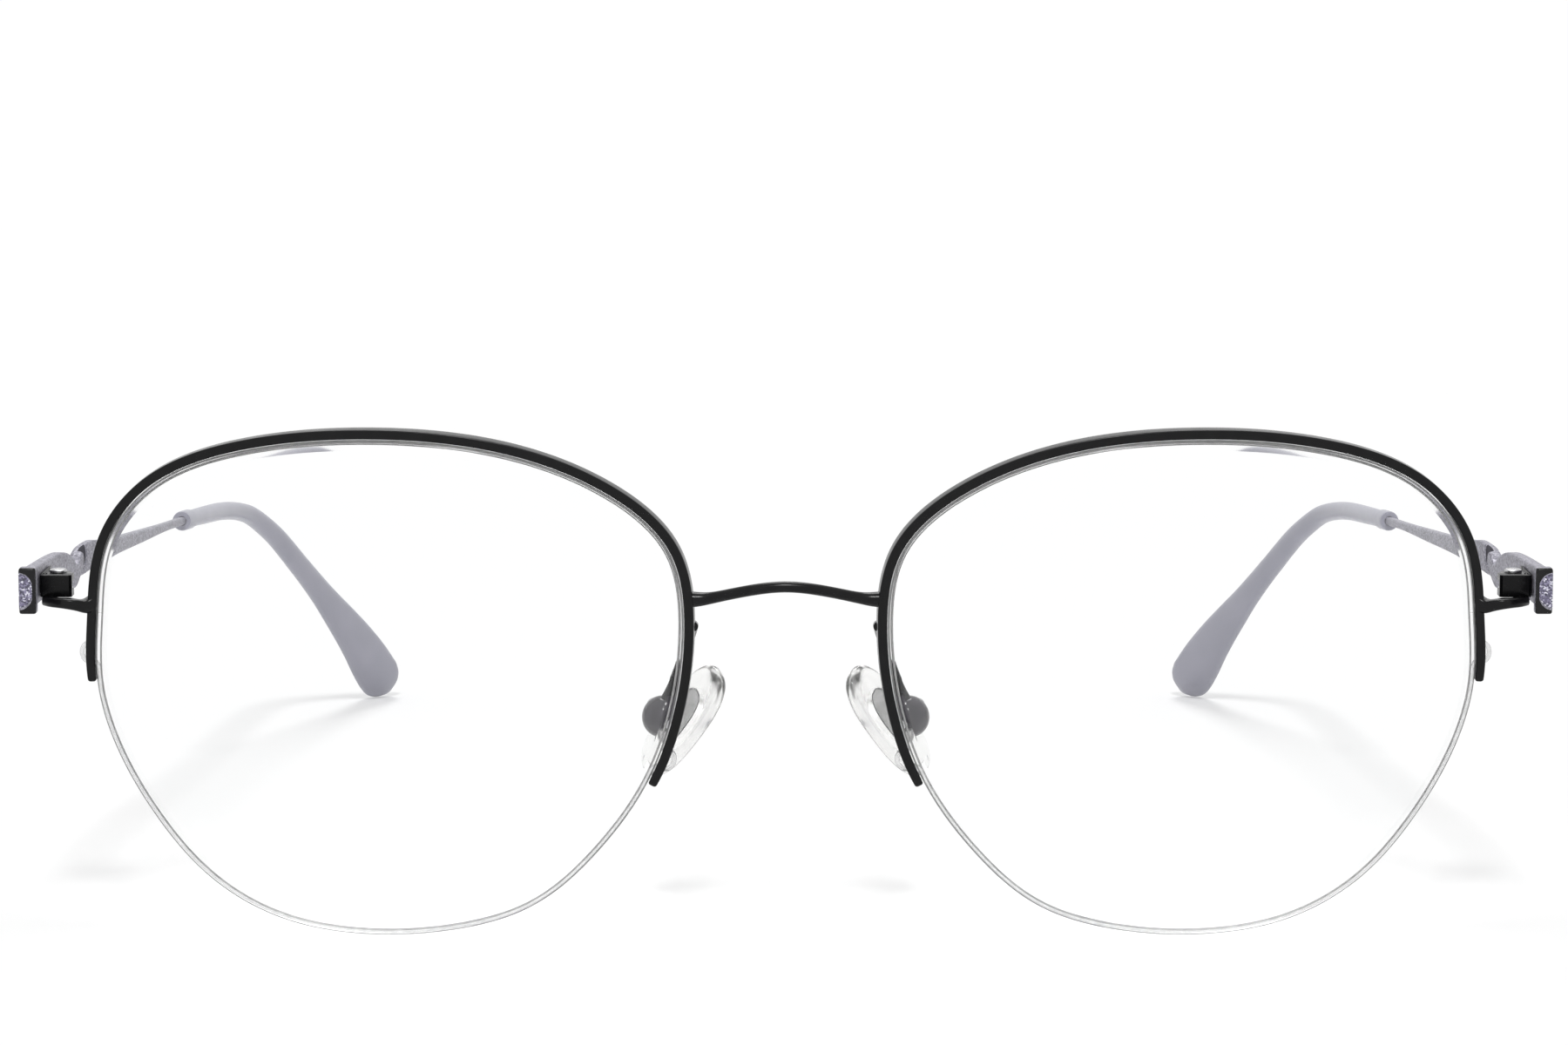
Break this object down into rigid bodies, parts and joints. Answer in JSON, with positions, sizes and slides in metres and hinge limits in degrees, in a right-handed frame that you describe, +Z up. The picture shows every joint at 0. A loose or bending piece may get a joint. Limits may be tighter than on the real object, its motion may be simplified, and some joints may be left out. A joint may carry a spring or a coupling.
{
  "type": "semi-rimless eyeglasses",
  "caption": "Semi-rimless eyeglasses: lenses in metal half rims and nylon cords, with a wire bridge, rocking nose pads and folding waved temples with long tips.",
  "frame": {"origin": "on the surface that the open glasses stand on, under the middle of their box", "axes": "+X to the right as seen from in front, +Y from the front back along the temples, +Z up"},
  "size_m": [0.137, 0.1327, 0.0465],
  "materials": {
    "lens": "clear and polished",
    "rim_metal": "black, satin to gloss",
    "nylon": "clear nylon",
    "hinge_metal": "black, satin",
    "screw_steel": "turned steel",
    "temple_metal": "lavender grey, fine metallic grain",
    "glitter": "lavender and violet glitter under clear enamel",
    "tip_plastic": "lavender grey, satin",
    "pad_core": "clear, stiff",
    "pad_silicone": "clear, soft"
  },
  "bodies": {
    "front": {"lens_left": "lens", "lens_right": "lens", "rim_left": "rim_metal", "rim_right": "rim_metal", "rim_liner_left": "nylon", "rim_liner_right": "nylon", "lens_cord_left": "nylon", "lens_cord_right": "nylon", "bridge": "rim_metal", "endpiece_left": "rim_metal", "endpiece_right": "rim_metal", "hinge_front_left": "hinge_metal", "hinge_front_right": "hinge_metal", "hinge_screw_left": "screw_steel", "hinge_screw_right": "screw_steel", "pad_arm_left": "rim_metal", "pad_arm_right": "rim_metal", "pad_cup_left": "hinge_metal", "pad_cup_right": "hinge_metal", "pad_screw_left": "screw_steel", "pad_screw_right": "screw_steel"},
    "temple_left": {"temple_left": "temple_metal", "hinge_temple_left": "hinge_metal", "temple_inlay_left": "glitter", "temple_tip_left": "tip_plastic"},
    "temple_right": {"temple_right": "temple_metal", "hinge_temple_right": "hinge_metal", "temple_inlay_right": "glitter", "temple_tip_right": "tip_plastic"},
    "nose_pad_left": {"nose_pad_left": "pad_silicone", "pad_core_left": "pad_core"},
    "nose_pad_right": {"nose_pad_right": "pad_silicone", "pad_core_right": "pad_core"}
  },
  "joints": [
    {"name": "temple_left_fold", "type": "hinge", "parent": "front", "child": "temple_left", "pos_m": [-0.06577, -0.05747, 0.03063], "axis": [0, 0, -1], "range_deg": [0, 80]},
    {"name": "temple_right_fold", "type": "hinge", "parent": "front", "child": "temple_right", "pos_m": [0.06577, -0.05747, 0.03063], "axis": [0, 0, 1], "range_deg": [0, 74]},
    {"name": "nose_pad_left_rock", "type": "hinge", "parent": "front", "child": "nose_pad_left", "pos_m": [-0.01146, -0.05689, 0.01951], "axis": [-0.3959, 0.7532, 0.5253], "range_deg": [-10, 10]},
    {"name": "nose_pad_right_rock", "type": "hinge", "parent": "front", "child": "nose_pad_right", "pos_m": [0.01146, -0.05689, 0.01951], "axis": [0.3959, 0.7532, 0.5253], "range_deg": [-10, 10]}
  ]
}
